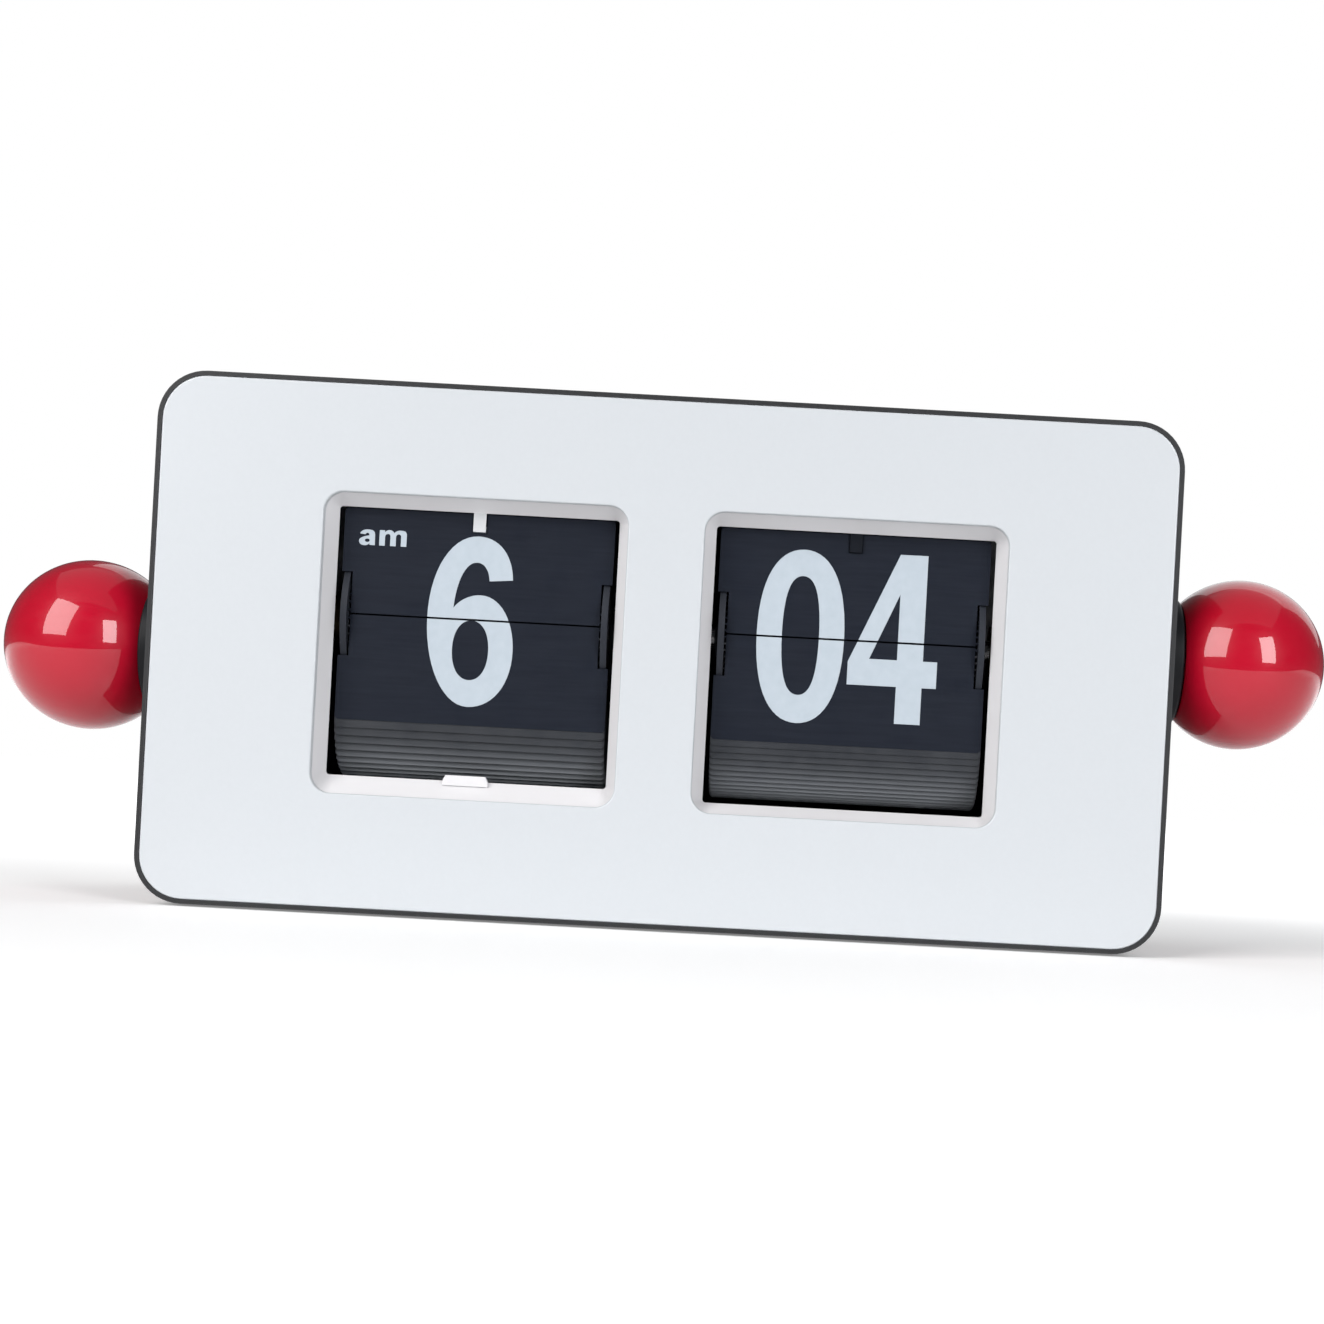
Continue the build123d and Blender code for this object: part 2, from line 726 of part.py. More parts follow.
def motor_coil():
    y, z = MOTOR
    coil = bar_z((z - 9.4, z + 3.4), 2.6, 67.0, y + 9.6)
    cheeks = [bar_z(span, 3.2, 67.0, y + 9.6) for span in ((z - 10.2, z - 9.4), (z + 3.4, z + 4.2))]
    whole = coil + cheeks[0] + cheeks[1]
    return whole & block((65.2, 72.0), (y, y + 20), (z - 20, z + 20))


# ---------------------------------------------------------------- movement frame

TIE_ROD_RADIUS = 1.5
TIE_ROD_SPOTS = [
    (y, z)
    for y in (PLATE_FRONT + 3.0, PLATE_FRONT + MIDDLE_PLATE_LENGTH - 4.0)
    for z in (PLATE_LOW + 4.5, PLATE_HIGH - 4.0)
]
BUSH_RADIUS = 3.4


def plate_blank(x, length):
    """A movement plate with rounded corners, standing on the base."""
    height = PLATE_HIGH - PLATE_LOW
    outline = Plane.YZ * RectangleRounded(length, height, 3.0)
    centre = (PLATE_FRONT + length / 2, PLATE_LOW + height / 2)
    return Pos(x[0], *centre) * extrude(outline, amount=x[1] - x[0])


def side_plate(side):
    span = sorted((side * SIDE_PLATE_X, side * (SIDE_PLATE_X + PLATE_THICKNESS)))
    plate = plate_blank(span, SIDE_PLATE_LENGTH) - rod(span, BUSH_RADIUS)
    for y, z in TIE_ROD_SPOTS:
        plate -= rod(span, 1.05, y, z)
    if side > 0:
        plate -= rod(span, STUD_RADIUS, *REDUCTION)
    else:
        for y, z in ((4.0, 30.0), (4.0, 62.0)):
            plate -= rod(span, 6.5, y, z)
    return plate


def middle_plate():
    span = (-PLATE_THICKNESS / 2, PLATE_THICKNESS / 2)
    plate = plate_blank(span, MIDDLE_PLATE_LENGTH)
    plate = plate - rod(span, BUSH_RADIUS) - rod(span, 2.2, *TRANSFER)
    for y, z in TIE_ROD_SPOTS:
        plate -= rod(span, TIE_ROD_RADIUS, y, z)
    return plate


def movement_base():
    low = PLATE_LOW - 2.0
    base = block((-63.0, 63.0), (PLATE_FRONT, PLATE_REAR), (low, PLATE_LOW))
    base = fillet(base.edges().filter_by(Axis.Z), 3.0)
    for x, y in base_screw_spots():
        base -= bar_z((low, PLATE_LOW), 1.2, x, y)
    for x in (-28.0, 28.0):
        base -= block((x - 14, x + 14), (-16.0, 8.0), (low, PLATE_LOW))
    return base


def tie_rods():
    bars = []
    for y, z in TIE_ROD_SPOTS:
        bar = rod((-SIDE_PLATE_X, SIDE_PLATE_X), TIE_ROD_RADIUS, y, z)
        for end in ((-SIDE_PLATE_X, 6 - SIDE_PLATE_X), (SIDE_PLATE_X - 6, SIDE_PLATE_X)):
            bar -= rod(end, 1.0, y, z)
        bars.append(bar)
    return joined(bars)


def small_screw(radius, length, head_radius, head_height):
    """A slotted screw standing on its tip, head up, with the underside of its head at z = 0."""
    shank = Pos(0, 0, -length / 2) * Cylinder(radius, length)
    head = Pos(0, 0, head_height / 2) * Cylinder(head_radius, head_height)
    head = fillet(head.edges().group_by(Axis.Z)[-1], head_height * 0.35)
    slot = Pos(0, 0, head_height) * Box(3 * head_radius, 0.5, head_height * 0.8)
    return shank + head - slot


def cross_screw(radius, length, head_radius, head_height):
    screw = small_screw(radius, length, head_radius, head_height)
    depth = head_height * 0.8
    return screw - Pos(0, 0, head_height) * Rot(0, 0, 90) * Box(3 * head_radius, 0.5, depth)


def tie_rod_screws():
    screws = []
    for y, z in TIE_ROD_SPOTS:
        for side in (-1, 1):
            x = side * (SIDE_PLATE_X + PLATE_THICKNESS)
            screws.append(Pos(x, y, z) * Rot(0, side * 90, 0) * small_screw(1.0, 5.0, 2.0, 1.2))
    return joined(screws)


def base_screws():
    spots = base_screw_spots()
    return joined([Pos(x, y, PLATE_LOW) * small_screw(1.0, 5.5, 2.0, 1.3) for x, y in spots])


def cover_screws():
    screws = []
    for x, z in cover_screw_spots():
        screws.append(Pos(x, REAR - 1.0, z) * Rot(-90, 0, 0) * cross_screw(1.25, 10.0, 2.7, 0.95))
    return joined(screws)


def bushes():
    """Sleeves that carry the drum shafts in the three plates, and the transfer arbor's own."""
    bore = SHAFT_RADIUS + RUNNING_GAP
    middle = ring((-2.2, 2.2), BUSH_RADIUS, bore)
    sides = []
    for side in (-1, 1):
        sleeve = ring((SIDE_PLATE_X - 1.2, SIDE_PLATE_X + 2.4), BUSH_RADIUS, bore)
        sleeve += ring((SIDE_PLATE_X - 1.2, SIDE_PLATE_X), BUSH_RADIUS + 1.2, bore)
        sides.append(sleeve if side > 0 else mirror(sleeve, about=Plane.YZ))
    transfer = ring((-2.0, 2.0), 2.2, ARBOR_RADIUS + RUNNING_GAP, *TRANSFER)
    return joined([middle, transfer] + sides)


def minute_shaft():
    shaft = rod((0.3, BALL_X - BALL_FOOT + SHAFT_GRIP), SHAFT_RADIUS)
    return chamfer(shaft.edges(), 0.2)


def hour_shaft():
    shaft = rod((-SIDE_PLATE_X - 4.0, -0.3), SHAFT_RADIUS)
    return chamfer(shaft.edges(), 0.2)


# ---------------------------------------------------------------- electronics

BOARD_X = (SIDE_PLATE_X + PLATE_THICKNESS + 2.0, SIDE_PLATE_X + PLATE_THICKNESS + 3.2)
BOARD_Y = (-2.0, 16.0)
BOARD_Z = (62.0, 82.0)


def circuit_board():
    board = block(BOARD_X, BOARD_Y, BOARD_Z)
    for y, z in board_post_spots():
        board -= rod(BOARD_X, 0.8, y, z)
    return board


def board_post_spots():
    return [(BOARD_Y[0] + 2.0, BOARD_Z[0] + 2.0), (BOARD_Y[1] - 2.0, BOARD_Z[1] - 2.0)]


def plate_studs():
    """The reduction gear's stud and the two stepped posts that carry the circuit board."""
    start = SIDE_PLATE_X + PLATE_THICKNESS
    studs = [rod((SIDE_PLATE_X, 70.4), STUD_RADIUS, *REDUCTION)]
    for y, z in board_post_spots():
        studs.append(rod((start, BOARD_X[0]), 1.6, y, z) + rod((start, BOARD_X[1] + 0.6), 0.8, y, z))
    return joined(studs)


def board_components():
    """The clock chip, the crystal's can and a capacitor."""
    face = BOARD_X[1]
    chip = block((face, face + 1.4), (4.0, 10.0), (68.0, 74.0))
    crystal = bar_z((75.5, 81.0), 1.0, face + 1.0, 1.5)
    capacitor = rod((face, face + 5.0), 2.5, 11.8, 65.6)
    return joined([chip, crystal, capacitor])


# ---------------------------------------------------------------- all nodes

LEFT_Z = MIDDLE_Z + LEFT_BALL_RISE
KNOB_GAP = 0.3

nodes = {
    "case_shell": case_shell(),
    "fascia": fascia(),
    "hour_window_frame": window_frame("hour"),
    "minute_window_frame": window_frame("minute"),
    "hour_catch": catch("hour"),
    "minute_catch": catch("minute"),
    "rear_cover": rear_cover(),
    "cover_screws": cover_screws(),
    "battery_door": battery_door(),
    "battery_holder": battery_holder(),
    "batteries": batteries(),
    "battery_contacts": battery_contacts(),
    "feet": feet(),
    "knob_ball": ball(1, AXIS_Z),
    "knob_insert": ball_insert(1, AXIS_Z, SHAFT_RADIUS),
    "knob_collar": collar(1, AXIS_Z, BALL_X - BALL_FOOT - SIDE_X - KNOB_GAP, SHAFT_RADIUS + 0.3),
    "left_ball": ball(-1, LEFT_Z),
    "left_ball_insert": ball_insert(-1, LEFT_Z, 1.5),
    "left_ball_collar": collar(-1, LEFT_Z, BALL_X - BALL_FOOT - SIDE_X, 1.6),
    "left_ball_screw": left_ball_screw(),
    "movement_base": movement_base(),
    "base_screws": base_screws(),
    "left_side_plate": side_plate(-1),
    "right_side_plate": side_plate(1),
    "middle_plate": middle_plate(),
    "tie_rods": tie_rods(),
    "tie_rod_screws": tie_rod_screws(),
    "bushes": bushes(),
    "minute_shaft": minute_shaft(),
    "hour_shaft": hour_shaft(),
    "minute_pinion": minute_pinion(),
    "transfer_wheel": transfer_wheel(),
    "transfer_arbor": rod((-5.0, 5.0), ARBOR_RADIUS, *TRANSFER),
    "transfer_pinion": transfer_pinion(),
    "hour_wheel": hour_wheel(),
    "clutch_gear": clutch_gear(),
    "clutch_hub": clutch_hub(),
    "clutch_spring": clutch_spring(),
    "reduction_gear": reduction_gear(),
    "plate_studs": plate_studs(),
    "motor": motor(),
    "motor_coil": motor_coil(),
    "motor_shaft": rod((63.0, 70.0), STUD_RADIUS, *MOTOR),
    "motor_pinion": motor_pinion(),
    "circuit_board": circuit_board(),
    "board_components": board_components(),
}

for drum in ("hour", "minute"):
    nodes[f"{drum}_drum_discs"] = joined([drum_disc(drum, -1), drum_disc(drum, 1)])
    nodes[f"{drum}_drum_core"] = drum_core(drum)
    nodes[f"{drum}_flip_leaf"] = flip_leaf(drum)
    nodes[f"{drum}_next_leaf"] = next_leaf(drum)
    nodes[f"{drum}_upper_leaves"] = upper_leaves(drum)
    nodes[f"{drum}_front_lower_leaf"] = front_lower_leaf(drum)
    nodes[f"{drum}_lower_leaves"] = lower_leaves(drum)

os.makedirs("parts", exist_ok=True)
for name, shape in nodes.items():
    export_step(shape, f"parts/{name}.step")
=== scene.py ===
"""Looks of the flip number clock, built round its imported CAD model. Metres."""

import json
import math

import bmesh
import bpy
from mathutils import Matrix, Vector


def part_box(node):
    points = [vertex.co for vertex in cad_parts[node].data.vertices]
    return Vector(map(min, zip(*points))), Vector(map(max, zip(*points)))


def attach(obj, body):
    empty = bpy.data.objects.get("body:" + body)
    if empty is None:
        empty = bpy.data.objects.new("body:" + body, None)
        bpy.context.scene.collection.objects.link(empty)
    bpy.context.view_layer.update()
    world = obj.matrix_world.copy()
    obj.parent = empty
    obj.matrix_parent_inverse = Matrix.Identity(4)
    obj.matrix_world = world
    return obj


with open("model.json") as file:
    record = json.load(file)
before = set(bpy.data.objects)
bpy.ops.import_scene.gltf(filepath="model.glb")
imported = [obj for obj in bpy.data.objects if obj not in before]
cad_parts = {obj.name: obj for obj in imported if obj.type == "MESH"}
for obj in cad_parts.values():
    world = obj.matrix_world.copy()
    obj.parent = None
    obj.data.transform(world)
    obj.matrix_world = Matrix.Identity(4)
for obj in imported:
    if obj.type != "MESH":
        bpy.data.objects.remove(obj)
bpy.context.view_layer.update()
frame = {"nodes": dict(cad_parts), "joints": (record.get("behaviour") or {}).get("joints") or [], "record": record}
MM = 0.001

# ---------------------------------------------------------------- places read from the frame


def joint_place(name):
    """A joint's position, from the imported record."""
    for joint in frame["joints"]:
        if joint["name"] == name:
            return Vector(joint["pos_m"])
    raise ValueError(name)


CASE_LOW, CASE_HIGH = (Vector(corner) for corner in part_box("case_shell"))
FASCIA_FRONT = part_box("fascia")[0][1]
CASE_MIDDLE = (CASE_LOW + CASE_HIGH) / 2
AXIS = joint_place("knob_turn")
HINGE = {drum: joint_place(f"{drum}_leaf_flip") for drum in ("hour", "minute")}


# ---------------------------------------------------------------- shader helpers


class Shader:
    """A material being built: a principled surface and helpers that add nodes to it."""

    def __init__(self, name, roughness=0.5, metallic=0.0, specular=0.5, coat=0.0, coat_roughness=0.05):
        self.material = bpy.data.materials.new(name)
        self.material.use_nodes = True
        self.tree = self.material.node_tree
        self.surface = self.tree.nodes["Principled BSDF"]
        self.surface.inputs["Roughness"].default_value = roughness
        self.surface.inputs["Metallic"].default_value = metallic
        self.surface.inputs["Specular IOR Level"].default_value = specular
        self.surface.inputs["Coat Weight"].default_value = coat
        self.surface.inputs["Coat Roughness"].default_value = coat_roughness
        self.place = self.node("ShaderNodeTexCoord").outputs["Object"]
        self.bump_normal = None

    def node(self, kind, **settings):
        """A new node of this kind, with its settings."""
        made = self.tree.nodes.new(kind)
        for key, value in settings.items():
            setattr(made, key, value)
        return made

    def link(self, source, target):
        """Joins a node's output to another's input."""
        self.tree.links.new(source, target)

    def stretched(self, scale, turn=(0.0, 0.0, 0.0)):
        """The object's own coordinates, scaled unevenly, for grain that runs one way."""
        mapping = self.node("ShaderNodeMapping")
        mapping.inputs["Scale"].default_value = scale
        mapping.inputs["Rotation"].default_value = turn
        self.link(self.place, mapping.inputs["Vector"])
        return mapping.outputs["Vector"]

    def noise(self, scale, detail=3.0, place=None, distortion=0.0):
        """Fractal noise about 0.5, in the object's own coordinates unless place is given."""
        made = self.node("ShaderNodeTexNoise")
        made.inputs["Scale"].default_value = scale
        made.inputs["Detail"].default_value = detail
        made.inputs["Roughness"].default_value = 0.55
        made.inputs["Distortion"].default_value = distortion
        self.link(place or self.place, made.inputs["Vector"])
        return made.outputs["Fac"]

    def cells(self, scale, feature="F1", place=None):
        """Distances in a cell pattern, for spark texture and board tracks."""
        made = self.node("ShaderNodeTexVoronoi", feature=feature)
        made.inputs["Scale"].default_value = scale
        self.link(place or self.place, made.inputs["Vector"])
        return made.outputs["Distance"]

    def ramp(self, source, stops):
        """A colour ramp; each stop is (position, grey or rgb)."""
        made = self.node("ShaderNodeValToRGB")
        while len(made.color_ramp.elements) < len(stops):
            made.color_ramp.elements.new(0.5)
        for element, (position, value) in zip(made.color_ramp.elements, stops):
            element.position = position
            shade = (value,) * 3 if isinstance(value, (int, float)) else tuple(value)
            element.color = (*shade, 1.0)
        self.link(source, made.inputs["Fac"])
        return made.outputs["Color"]

    def remap(self, source, low, high, start=0.3, end=0.7):
        """Goes from low to high as the source goes from start to end, and stays there beyond."""
        made = self.node("ShaderNodeMapRange")
        made.inputs["From Min"].default_value = start
        made.inputs["From Max"].default_value = end
        made.inputs["To Min"].default_value = low
        made.inputs["To Max"].default_value = high
        self.link(source, made.inputs["Value"])
        return made.outputs["Result"]

    def mix(self, fac, first, second):
        """Goes from the first colour to the second as fac, a node's output, goes from 0 to 1."""
        made = self.node("ShaderNodeMix", data_type="RGBA")
        first_socket, second_socket = (socket for socket in made.inputs if socket.type == "RGBA")
        self.link(fac, made.inputs["Factor"])
        self.set_colour(first_socket, first)
        self.set_colour(second_socket, second)
        return [socket for socket in made.outputs if socket.type == "RGBA"][0]

    def set_colour(self, socket, value):
        """Links a node's output to the socket, or sets it to an rgb colour."""
        if isinstance(value, bpy.types.NodeSocket):
            self.link(value, socket)
        else:
            socket.default_value = (*value, 1.0)

    def edge_wear(self, radius, strength=1.0):
        """High on rounded-over edges: how far the bevelled normal leaves the true one."""
        bevel = self.node("ShaderNodeBevel", samples=4)
        bevel.inputs["Radius"].default_value = radius
        true_normal = self.node("ShaderNodeNewGeometry").outputs["Normal"]
        dot = self.node("ShaderNodeVectorMath", operation="DOT_PRODUCT")
        self.link(bevel.outputs["Normal"], dot.inputs[0])
        self.link(true_normal, dot.inputs[1])
        return self.remap(dot.outputs["Value"], strength, 0.0, start=0.7, end=0.995)

    def bump(self, height, distance, strength=1.0):
        """Adds a bump on top of those already there."""
        made = self.node("ShaderNodeBump")
        made.inputs["Strength"].default_value = strength
        made.inputs["Distance"].default_value = distance
        self.link(height, made.inputs["Height"])
        if self.bump_normal is not None:
            self.link(self.bump_normal, made.inputs["Normal"])
        self.bump_normal = made.outputs["Normal"]

    def colour(self, value):
        """Sets the surface's colour."""
        self.set_colour(self.surface.inputs["Base Color"], value)

    def roughness(self, source):
        """Lets a node's output vary the surface's roughness."""
        self.link(source, self.surface.inputs["Roughness"])

    def done(self):
        """Joins the bumps to the surface and hands the material over."""
        if self.bump_normal is not None:
            self.link(self.bump_normal, self.surface.inputs["Normal"])
        return self.material


# ---------------------------------------------------------------- materials


def fascia_white():
    """Cool-white gloss lacquer on the front panel."""
    s = Shader("fascia_white", roughness=0.28, specular=0.4, coat=0.25, coat_roughness=0.12)
    grain = s.noise(1400.0, 3.0)
    s.colour(s.ramp(grain, [(0.3, (0.540, 0.563, 0.589)), (0.7, (0.548, 0.571, 0.597))]))
    s.roughness(s.remap(s.noise(2400.0, 2.0), 0.282, 0.298))
    s.bump(s.noise(2400.0, 2.0), 0.00001, 0.05)
    return s.done()


def frame_white():
    """Warmer satin white of the sloped window frames."""
    s = Shader("frame_white", roughness=0.42, specular=0.35)
    s.colour(s.ramp(s.noise(35.0, 3.0), [(0.3, (0.682, 0.672, 0.686)), (0.7, (0.698, 0.688, 0.702))]))
    s.roughness(s.remap(s.noise(300.0, 3.0), 0.36, 0.48))
    s.bump(s.noise(2600.0, 2.0), 0.00002, 0.12)
    return s.done()


def textured_black(name, tone, grain=0.16, specular=0.45):
    """Moulded black with a fine spark texture and edges polished by handling."""
    s = Shader(name, roughness=0.46, specular=specular)
    lighter = [channel * 1.08 for channel in tone]
    worn = [channel * 2.4 + 0.012 for channel in tone]
    base = s.ramp(s.noise(22.0, 4.0), [(0.3, tone), (0.7, lighter)])
    s.colour(s.mix(s.edge_wear(0.0006, 0.5), base, worn))
    s.roughness(s.remap(s.noise(900.0, 3.0), 0.43, 0.50))
    s.bump(s.cells(1900.0), 0.00004, grain)
    s.bump(s.noise(4200.0, 3.0), 0.00003, grain * 0.8)
    return s.done()


def ball_red():
    """High-gloss crimson with a clear coat, faint polishing marks and a trace of dust."""
    s = Shader("ball_red", roughness=0.35, specular=0.15, coat=1.0, coat_roughness=0.025)
    s.colour(s.ramp(s.noise(45.0, 3.0), [(0.3, (0.400, 0.0008, 0.014)), (0.7, (0.450, 0.0012, 0.019))]))
    hairlines = s.noise(700.0, 2.0, place=s.stretched((0.15, 1.0, 1.0), (0.4, 0.3, 0.8)))
    s.roughness(s.remap(hairlines, 0.30, 0.42, 0.35, 0.7))
    s.bump(s.noise(120.0, 2.0), 0.00004, 0.03)
    return s.done()


def leaf_black():
    """Thin satin sheet with a faint calender grain along its width."""
    s = Shader("leaf_black", roughness=0.5, specular=0.12)
    grain = s.noise(1800.0, 3.0, place=s.stretched((0.06, 1.0, 1.0)))
    s.colour(s.ramp(grain, [(0.3, (0.0085, 0.0110, 0.0185)), (0.7, (0.0110, 0.0140, 0.0225))]))
    s.roughness(s.remap(s.noise(260.0, 4.0), 0.40, 0.56))
    s.bump(grain, 0.00001, 0.10)
    s.bump(s.noise(70.0, 2.0), 0.00008, 0.05)
    return s.done()


def leaf_ends_with_painted_reflection(name, covered, end):
    """The fallen leaves, plain where the front one covers them and lighter towards their lower ends: a painted
    reflection of the pale table in them.

    covered is the height down to which the front leaf covers them, end that of the lowest end.
    """
    s = Shader(name, roughness=0.42, specular=0.45)
    split = s.node("ShaderNodeSeparateXYZ")
    s.link(s.place, split.inputs["Vector"])
    # Painted reflection: the colour goes from plain dark leaf to pale grey towards the lowest end, standing in for
    # the pale table the leaf ends reflect.
    depth = s.remap(split.outputs["Z"], 1.0, 0.0, start=end, end=covered)
    reflection_amount = s.node("ShaderNodeMath", operation="POWER")
    s.link(depth, reflection_amount.inputs[0])
    reflection_amount.inputs[1].default_value = 3.0
    grain = s.noise(1500.0, 3.0, place=s.stretched((0.04, 1.0, 1.0)))
    plain = s.ramp(grain, [(0.3, (0.0170, 0.0195, 0.0250)), (0.7, (0.0215, 0.0240, 0.0300))])
    # The pale grey at the lower ends is painted reflection of the table.
    table_reflection = s.ramp(grain, [(0.3, (0.3050, 0.3250, 0.3550)), (0.7, (0.3300, 0.3500, 0.3800))])
    s.colour(s.mix(reflection_amount.outputs["Value"], plain, table_reflection))
    s.roughness(s.remap(s.noise(300.0, 4.0), 0.32, 0.5))
    s.bump(grain, 0.00001, 0.15)
    return s.done()


def print_white():
    """Screen-printed numerals: pale blue-white ink with slight mottling."""
    s = Shader("print_white", roughness=0.48, specular=0.35)
    s.colour(s.ramp(s.noise(520.0, 4.0), [(0.3, (0.402, 0.456, 0.508)), (0.7, (0.432, 0.486, 0.538))]))
    s.roughness(s.remap(s.noise(900.0, 3.0), 0.42, 0.56))
    s.bump(s.noise(3000.0, 2.0), 0.00001, 0.12)
    return s.done()


def plain_moulding(name, tone, roughness=0.45, spread=0.12, specular=0.45):
    """An inner plastic moulding: even tone, flow marks, softly polished edges."""
    s = Shader(name, roughness=roughness, specular=specular)
    light = [min(1.0, channel * (1 + spread)) for channel in tone]
    dark = [channel * (1 - spread) for channel in tone]
    worn = [min(1.0, channel * 1.5 + 0.003) for channel in tone]
    flow = s.ramp(s.noise(60.0, 4.0, distortion=0.8), [(0.3, dark), (0.7, light)])
    s.colour(s.mix(s.edge_wear(0.0002, 0.35), flow, worn))
    s.roughness(s.remap(s.noise(400.0, 3.0), roughness - 0.07, roughness + 0.08))
    s.bump(s.noise(2400.0, 2.0), 0.00002, 0.1)
    return s.done()


def turned_metal(name, tone, roughness=0.3, along=(0.05, 1.0, 1.0)):
    """Turned or ground metal. Its marks run along the axis whose scale in along is small."""
    s = Shader(name, roughness=roughness, metallic=1.0)
    marks = s.noise(2600.0, 3.0, place=s.stretched(along))
    tarnished = [channel * 0.82 for channel in tone]
    s.colour(s.ramp(s.noise(110.0, 4.0), [(0.3, tarnished), (0.7, tone)]))
    s.roughness(s.remap(marks, roughness - 0.1, roughness + 0.12))
    s.bump(marks, 0.00001, 0.12)
    return s.done()


def coated_sheet():
    """Black coated steel plates of the movement."""
    s = Shader("plate_steel", roughness=0.4, specular=0.5)
    base = s.ramp(s.noise(150.0, 4.0), [(0.3, (0.028, 0.028, 0.030)), (0.7, (0.048, 0.048, 0.052))])
    s.colour(s.mix(s.edge_wear(0.0003, 0.6), base, (0.24, 0.24, 0.25)))
    s.roughness(s.remap(s.noise(700.0, 4.0), 0.32, 0.5))
    s.bump(s.noise(1500.0, 3.0), 0.00002, 0.15)
    return s.done()


def rubber():
    """Matt dark rubber of the feet."""
    s = Shader("rubber", roughness=0.82, specular=0.3)
    s.colour(s.ramp(s.noise(260.0, 5.0), [(0.3, (0.016, 0.016, 0.016)), (0.7, (0.040, 0.039, 0.038))]))
    s.roughness(s.remap(s.noise(500.0, 3.0), 0.74, 0.9))
    s.bump(s.noise(3200.0, 4.0), 0.00005, 0.3)
    return s.done()


def cell_wrap():
    """Plain battery sleeve: dark body with a copper-coloured band at one end of each cell."""
    s = Shader("cell_wrap", roughness=0.3, metallic=0.65)
    split = s.node("ShaderNodeSeparateXYZ")
    s.link(s.place, split.inputs["Vector"])
    band = s.remap(split.outputs["X"], 0.0, 1.0, start=0.0118, end=0.0122)
    base = s.ramp(s.noise(90.0, 3.0), [(0.3, (0.035, 0.038, 0.045)), (0.7, (0.060, 0.064, 0.074))])
    s.colour(s.mix(band, base, (0.42, 0.20, 0.07)))
    s.roughness(s.remap(s.noise(500.0, 3.0), 0.22, 0.38))
    s.bump(s.noise(1600.0, 2.0), 0.00001, 0.1)
    return s.done()


def coil_copper():
    """Enamelled wire: fine turns stacked up the standing coil."""
    s = Shader("coil_copper", roughness=0.35, metallic=1.0)
    wave = s.node("ShaderNodeTexWave", bands_direction="Z")
    wave.inputs["Scale"].default_value = 1400.0
    wave.inputs["Distortion"].default_value = 0.6
    s.link(s.place, wave.inputs["Vector"])
    s.colour(s.ramp(wave.outputs["Fac"], [(0.2, (0.20, 0.06, 0.02)), (0.7, (0.62, 0.24, 0.09))]))
    s.bump(wave.outputs["Fac"], 0.0001, 0.6)
    return s.done()


def board_green():
    """Solder mask over copper tracks."""
    s = Shader("board_green", roughness=0.35, specular=0.5, coat=0.3)
    tracks = s.cells(420.0, "DISTANCE_TO_EDGE", s.stretched((1.0, 1.0, 0.6)))
    s.colour(s.ramp(tracks, [(0.04, (0.055, 0.30, 0.12)), (0.10, (0.012, 0.11, 0.045))]))
    s.roughness(s.remap(s.noise(600.0, 3.0), 0.28, 0.42))
    s.bump(tracks, 0.00003, 0.2)
    return s.done()


# One for each material slot that the record names.
MATERIALS = {
    "fascia_white": fascia_white(),
    "frame_white": frame_white(),
    "case_black": textured_black("case_black", (0.0105, 0.0110, 0.0125)),
    "door_black": textured_black("door_black", (0.0125, 0.0130, 0.0145), 0.2),
    "ball_red": ball_red(),
    "collar_black": textured_black("collar_black", (0.0060, 0.0068, 0.0085), 0.06, 0.2),
    "leaf_black": leaf_black(),
    "catch_white": plain_moulding("catch_white", (0.56, 0.57, 0.585), 0.42, 0.03),
    "catch_black": plain_moulding("catch_black", (0.0060, 0.0075, 0.0115), 0.5, specular=0.1),
    "drum_black": plain_moulding("drum_black", (0.022, 0.025, 0.033), 0.5, specular=0.2),
    "gear_plastic": plain_moulding("gear_plastic", (0.70, 0.67, 0.58), 0.4, 0.05),
    "steel": turned_metal("steel", (0.56, 0.56, 0.57), 0.28),
    "plate_steel": coated_sheet(),
    "brass": turned_metal("brass", (0.70, 0.50, 0.22), 0.26),
    "screw_steel": turned_metal("screw_steel", (0.10, 0.10, 0.11), 0.38, (1.0, 0.05, 1.0)),
    "rubber": rubber(),
    "cell_wrap": cell_wrap(),
    "contact_metal": turned_metal("contact_metal", (0.66, 0.65, 0.62), 0.22, (1.0, 1.0, 0.05)),
    "motor_plastic": plain_moulding("motor_plastic", (0.050, 0.052, 0.058), 0.5),
    "coil_copper": coil_copper(),
    "board_green": board_green(),
    "component": plain_moulding("component", (0.022, 0.022, 0.024), 0.35),
}


def paint(node, material):
    """Gives every material slot of a CAD node this material."""
    for material_slot in frame["nodes"][node].material_slots:
        material_slot.material = material


for entry in frame["record"]["subparts"]:
    paint(entry["node"], MATERIALS[entry["material_slot"]])

# Dark bronze instead of bright brass, so that the bushes don't shine out beside the drums.
paint("bushes", turned_metal("bronze", (0.10, 0.070, 0.040), 0.5))

# The fallen leaves get a painted reflection of the table, lighter towards their lower ends.
for drum in HINGE:
    front_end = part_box(f"{drum}_front_lower_leaf")[0][2]
    last_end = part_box(f"{drum}_lower_leaves")[0][2]
    paint(f"{drum}_lower_leaves", leaf_ends_with_painted_reflection(f"{drum}_leaf_ends", front_end, last_end))


# ---------------------------------------------------------------- numerals
# A glyph is a list of closed outlines in millimetres, from the middle of its window and
# the split line. Each point is (x, z) for a corner or (x, z, (in handle), (out handle)),
# handles being offsets, for a rounded one.


